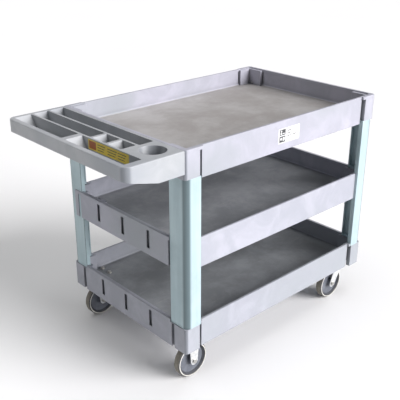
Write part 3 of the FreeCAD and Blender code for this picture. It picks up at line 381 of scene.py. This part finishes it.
def film(name, outlines, plane, material, low, high):
    """Thin flat shapes drawn in millimetres on a label's own plane, from height low to height high."""
    mesh = bmesh.new()
    origin, across, up, out = plane
    for outline in outlines:
        rims = []
        for height in (low, high):
            rims.append([
                mesh.verts.new(origin + (across * u + up * v + out * height) * MM)
                for u, v in outline
            ])
        mesh.faces.new(list(reversed(rims[0])))
        mesh.faces.new(rims[1])
        count = len(outline)
        for n in range(count):
            after = (n + 1) % count
            mesh.faces.new((rims[0][n], rims[0][after], rims[1][after], rims[1][n]))
    bmesh.ops.recalc_face_normals(mesh, faces=mesh.faces)
    data = bpy.data.meshes.new(name)
    mesh.to_mesh(data)
    mesh.free()
    data.materials.append(material)
    made = bpy.data.objects.new(name, data)
    bpy.context.scene.collection.objects.link(made)
    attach(made, "cart")
    return made


def make_side_label():
    """The white sticker on the top shelf: a framed pictogram, three plain bars and a dash."""
    low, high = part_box("side_label")
    middle = (low + high) / 2
    origin = Vector((middle.x, high.y, middle.z))
    plane = (origin, Vector((1, 0, 0)), Vector((0, 0, 1)), Vector((0, -1, 0)))
    half_w, half_h = (high.x - low.x) / 2 / MM, (high.z - low.z) / 2 / MM
    white = printed_film("side_label_white", "F0F0EE", "E4E5E6")
    ink = printed_film("side_label_ink", "3A3B3E", "4C4D50")
    outline = rounded_outline(-half_w, -half_h, half_w, half_h, 3)
    paper = film("side_label_film", [outline], plane, white, 0.0, FILM_TOP)
    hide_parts("side_label")
    left = -half_w + 4
    block = left + 30
    shapes = [
        rounded_outline(left, 2, block, half_h - 3, 1.5),
        rounded_outline(left, -half_h + 3, block, -1, 1.5),
    ]
    start = block + 9
    bar_height, bar_pitch = 3, 9
    for n, length in enumerate((20, 15, 18)):
        top = half_h - 10 - bar_pitch * n
        shapes.append(rounded_outline(start, top - bar_height, start + length, top, 1))
    shapes.append(rounded_outline(block + 38, -6, block + 54, -2.5, 1))
    print_marks = film("side_label_print", shapes, plane, ink, FILM_TOP, PRINT_TOP)
    signs = [
        ring_outline(left + 9, half_h - 9, 3.2),
        rounded_outline(left + 5, 5, left + 13, half_h - 14, 1),
        rounded_outline(left + 17, 6, left + 26, 9, 1),
        ring_outline(left + 9, -10, 4.5),
        rounded_outline(left + 17, -17, left + 26, -5, 1.5),
    ]
    sign_marks = film("side_label_signs", signs, plane, white, PRINT_TOP, SIGN_TOP)


def make_trough_label():
    """The yellow sticker inside the handle's outer trough: an orange end block and plain bars."""
    low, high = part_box("trough_label")
    middle = (low + high) / 2
    origin = Vector((high.x, middle.y, middle.z))
    plane = (origin, Vector((0, -1, 0)), Vector((0, 0, 1)), Vector((-1, 0, 0)))
    half_w, half_h = (high.y - low.y) / 2 / MM, (high.z - low.z) / 2 / MM
    yellow = printed_film("trough_label_yellow", "EED550", "E0C75E")
    orange = printed_film("trough_label_orange", "B5622C", "A86438")
    ink = printed_film("trough_label_ink", "4A4230", "5A5140")
    outline = rounded_outline(-half_w, -half_h, half_w, half_h, 2)
    sheet = film("trough_label_film", [outline], plane, yellow, 0.0, FILM_TOP)
    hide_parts("trough_label")
    patch = rounded_outline(-half_w + 4, -half_h + 4, -half_w + 40, half_h - 4, 2)
    block = film("trough_label_block", [patch], plane, orange, FILM_TOP, PRINT_TOP)
    bars = []
    bar_height, row_pitch, column_pitch, row_step = 2.2, 8, 50, 4
    for row in range(3):
        for column, length in enumerate((38, 46, 40)):
            start = -half_w + 48 + column_pitch * column
            top = half_h - 7 - row_pitch * row
            end = start + length - row_step * row
            bars.append(rounded_outline(start, top - bar_height, end, top, 0.8))
    lines = film("trough_label_bars", bars, plane, ink, FILM_TOP, PRINT_TOP)


# ---------------------------------------------------------------- stage, light and camera


def make_floor():
    """A wide plain floor at the wheels' lowest point."""
    mesh = bmesh.new()
    bmesh.ops.create_grid(mesh, x_segments=2, y_segments=2, size=FLOOR_HALF_WIDTH)
    data = bpy.data.meshes.new("studio_floor")
    mesh.to_mesh(data)
    mesh.free()
    data.materials.append(pale_floor())
    floor = bpy.data.objects.new("studio_floor", data)
    floor.location.z = CAD_LOW.z
    bpy.context.scene.collection.objects.link(floor)


def far_light(name, towards, power, softness, colour=(1, 1, 1)):
    """An even soft light from far away; towards points from the object to the light."""
    data = bpy.data.lights.new(name, "SUN")
    data.energy = power
    data.angle = math.radians(softness)
    data.color = colour
    light = bpy.data.objects.new(name, data)
    light.location = CENTRE + Vector(towards) * 3
    light.rotation_mode = "QUATERNION"
    light.rotation_quaternion = Vector(towards).to_track_quat("Z", "Y")
    bpy.context.scene.collection.objects.link(light)


def light_studio():
    """A strong soft key, a weak end light, a top light, and a sky that lights dimly but looks white."""
    far_light("key_light", (0.40, -0.82, 0.38), 5.1, 44, (1.0, 0.985, 1.0))
    far_light("end_light", (-0.85, 0.35, 0.35), 0.12, 50, (0.95, 0.98, 1.0))
    far_light("top_light", (-0.1, 0.1, 1.0), 1.15, 60)
    world = bpy.data.worlds.new("studio")
    world.use_nodes = True
    tree = world.node_tree
    sky = tree.nodes["Background"]
    sky.inputs["Color"].default_value = (0.98, 0.98, 1.0, 1.0)
    seen = tree.nodes.new("ShaderNodeLightPath").outputs["Is Camera Ray"]
    strength = tree.nodes.new("ShaderNodeMapRange")
    dim, bright = 0.13, 1.0
    strength.inputs["To Min"].default_value = dim
    strength.inputs["To Max"].default_value = bright
    tree.links.new(seen, strength.inputs["Value"])
    tree.links.new(strength.outputs["Result"], sky.inputs["Strength"])
    bpy.context.scene.world = world


def make_camera():
    """A long lens that looks down at the handle's corner."""
    azimuth, elevation, roll = math.radians(-42.77), math.radians(23.52), math.radians(0.13)
    aim = CENTRE + Vector((9.2, 20.9, 49.7)) * MM
    distance = 2.5331
    back = Vector((
        math.sin(azimuth) * math.cos(elevation),
        -math.cos(azimuth) * math.cos(elevation),
        math.sin(elevation),
    ))
    data = bpy.data.cameras.new("camera")
    data.sensor_width = 36
    data.lens = 61.24
    data.clip_start = 0.05
    data.clip_end = 200
    camera = bpy.data.objects.new("camera", data)
    turn = (-back).to_track_quat("-Z", "Y").to_matrix() @ Matrix.Rotation(roll, 3, "Z")
    camera.rotation_mode = "QUATERNION"
    camera.rotation_quaternion = turn.to_quaternion()
    camera.location = aim + back * distance
    bpy.context.scene.collection.objects.link(camera)
    bpy.context.scene.camera = camera


dress_frame()
make_side_label()
make_trough_label()
make_floor()
light_studio()
make_camera()
bpy.context.scene.view_settings.view_transform = "Standard"
